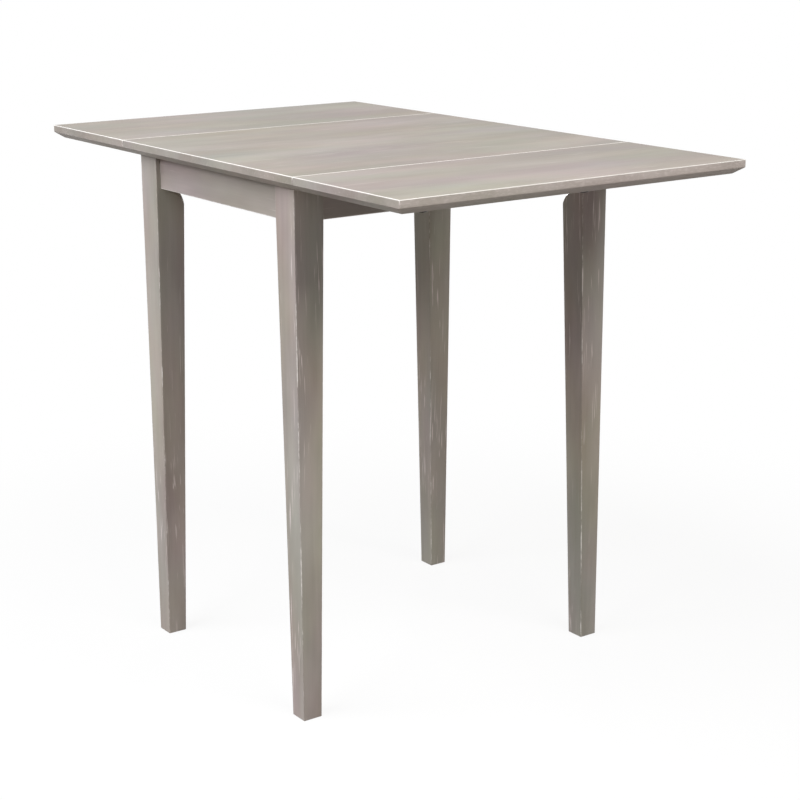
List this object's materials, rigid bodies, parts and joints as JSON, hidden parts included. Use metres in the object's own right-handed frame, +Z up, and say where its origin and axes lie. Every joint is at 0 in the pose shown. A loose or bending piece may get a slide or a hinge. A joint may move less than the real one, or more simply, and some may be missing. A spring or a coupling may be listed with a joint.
{
  "type": "drop-leaf dining table",
  "caption": "Small drop-leaf dining table: fixed centre board, hinged leaves on slotted steel stays, undercut edges and square legs tapered on their inner faces.",
  "frame": {"origin": "on the floor under the middle of the table, leaves up", "axes": "+Z up; X along the hinges, the table's length; Y across the leaves, with the front leaf towards -Y and the left end towards -X"},
  "size_m": [0.5588, 0.9144, 0.7493],
  "materials": {
    "top_wood": "washed grey-taupe satin lacquer, pale worn arrises",
    "leg_wood": "washed grey-taupe satin lacquer with pale streaks along the grain",
    "raw_wood": "sawn, unfinished",
    "black_steel": "satin black coating",
    "zinc_steel": "zinc plated"
  },
  "bodies": {
    "table_frame": {"centre_top": "top_wood", "front_left_leg": "leg_wood", "front_right_leg": "leg_wood", "back_left_leg": "leg_wood", "back_right_leg": "leg_wood", "front_apron": "leg_wood", "back_apron": "leg_wood", "left_apron": "leg_wood", "right_apron": "leg_wood", "front_left_corner_block": "raw_wood", "front_right_corner_block": "raw_wood", "back_left_corner_block": "raw_wood", "back_right_corner_block": "raw_wood", "front_left_hanger_bolt": "zinc_steel", "front_right_hanger_bolt": "zinc_steel", "back_left_hanger_bolt": "zinc_steel", "back_right_hanger_bolt": "zinc_steel", "front_left_flange_nut": "zinc_steel", "front_right_flange_nut": "zinc_steel", "back_left_flange_nut": "zinc_steel", "back_right_flange_nut": "zinc_steel", "front_left_top_screw": "zinc_steel", "front_right_top_screw": "zinc_steel", "back_left_top_screw": "zinc_steel", "back_right_top_screw": "zinc_steel", "front_left_hinge_centre_plate": "black_steel", "front_right_hinge_centre_plate": "black_steel", "back_left_hinge_centre_plate": "black_steel", "back_right_hinge_centre_plate": "black_steel", "front_left_hinge_pin": "black_steel", "front_right_hinge_pin": "black_steel", "back_left_hinge_pin": "black_steel", "back_right_hinge_pin": "black_steel", "front_left_stay_bracket": "black_steel", "front_right_stay_bracket": "black_steel", "back_left_stay_bracket": "black_steel", "back_right_stay_bracket": "black_steel", "front_left_stay_pivot": "black_steel", "front_right_stay_pivot": "black_steel", "back_left_stay_pivot": "black_steel", "back_right_stay_pivot": "black_steel"},
    "front_leaf_assembly": {"front_leaf": "top_wood", "front_left_hinge_leaf_plate": "black_steel", "front_right_hinge_leaf_plate": "black_steel", "front_left_stay_slot_plate": "black_steel", "front_right_stay_slot_plate": "black_steel"},
    "back_leaf_assembly": {"back_leaf": "top_wood", "back_left_hinge_leaf_plate": "black_steel", "back_right_hinge_leaf_plate": "black_steel", "back_left_stay_slot_plate": "black_steel", "back_right_stay_slot_plate": "black_steel"},
    "front_left_arm": {"front_left_stay_arm": "black_steel", "front_left_stay_guide_pin": "black_steel"},
    "front_right_arm": {"front_right_stay_arm": "black_steel", "front_right_stay_guide_pin": "black_steel"},
    "back_left_arm": {"back_left_stay_arm": "black_steel", "back_left_stay_guide_pin": "black_steel"},
    "back_right_arm": {"back_right_stay_arm": "black_steel", "back_right_stay_guide_pin": "black_steel"}
  },
  "joints": [
    {"name": "front_leaf_drop", "type": "hinge", "parent": "table_frame", "child": "front_leaf_assembly", "pos_m": [0, -0.2286, 0.7273], "axis": [1, 0, 0], "range_deg": [0, 90]},
    {"name": "back_leaf_drop", "type": "hinge", "parent": "table_frame", "child": "back_leaf_assembly", "pos_m": [0, 0.2286, 0.7273], "axis": [-1, 0, 0], "range_deg": [0, 90]},
    {"name": "front_left_arm_turn", "type": "hinge", "parent": "table_frame", "child": "front_left_arm", "pos_m": [-0.13655, -0.216, 0.6993], "axis": [1, 0, 0], "range_deg": [0, 105]},
    {"name": "front_right_arm_turn", "type": "hinge", "parent": "table_frame", "child": "front_right_arm", "pos_m": [0.13655, -0.216, 0.6993], "axis": [1, 0, 0], "range_deg": [0, 105]},
    {"name": "back_left_arm_turn", "type": "hinge", "parent": "table_frame", "child": "back_left_arm", "pos_m": [-0.13655, 0.216, 0.6993], "axis": [-1, 0, 0], "range_deg": [0, 105]},
    {"name": "back_right_arm_turn", "type": "hinge", "parent": "table_frame", "child": "back_right_arm", "pos_m": [0.13655, 0.216, 0.6993], "axis": [-1, 0, 0], "range_deg": [0, 105]}
  ],
  "couplings": [
    {"joint": "front_left_arm_turn", "follows": "front_leaf_drop", "ratio": 1.1657},
    {"joint": "front_right_arm_turn", "follows": "front_leaf_drop", "ratio": 1.1657},
    {"joint": "back_left_arm_turn", "follows": "back_leaf_drop", "ratio": 1.1657},
    {"joint": "back_right_arm_turn", "follows": "back_leaf_drop", "ratio": 1.1657}
  ]
}
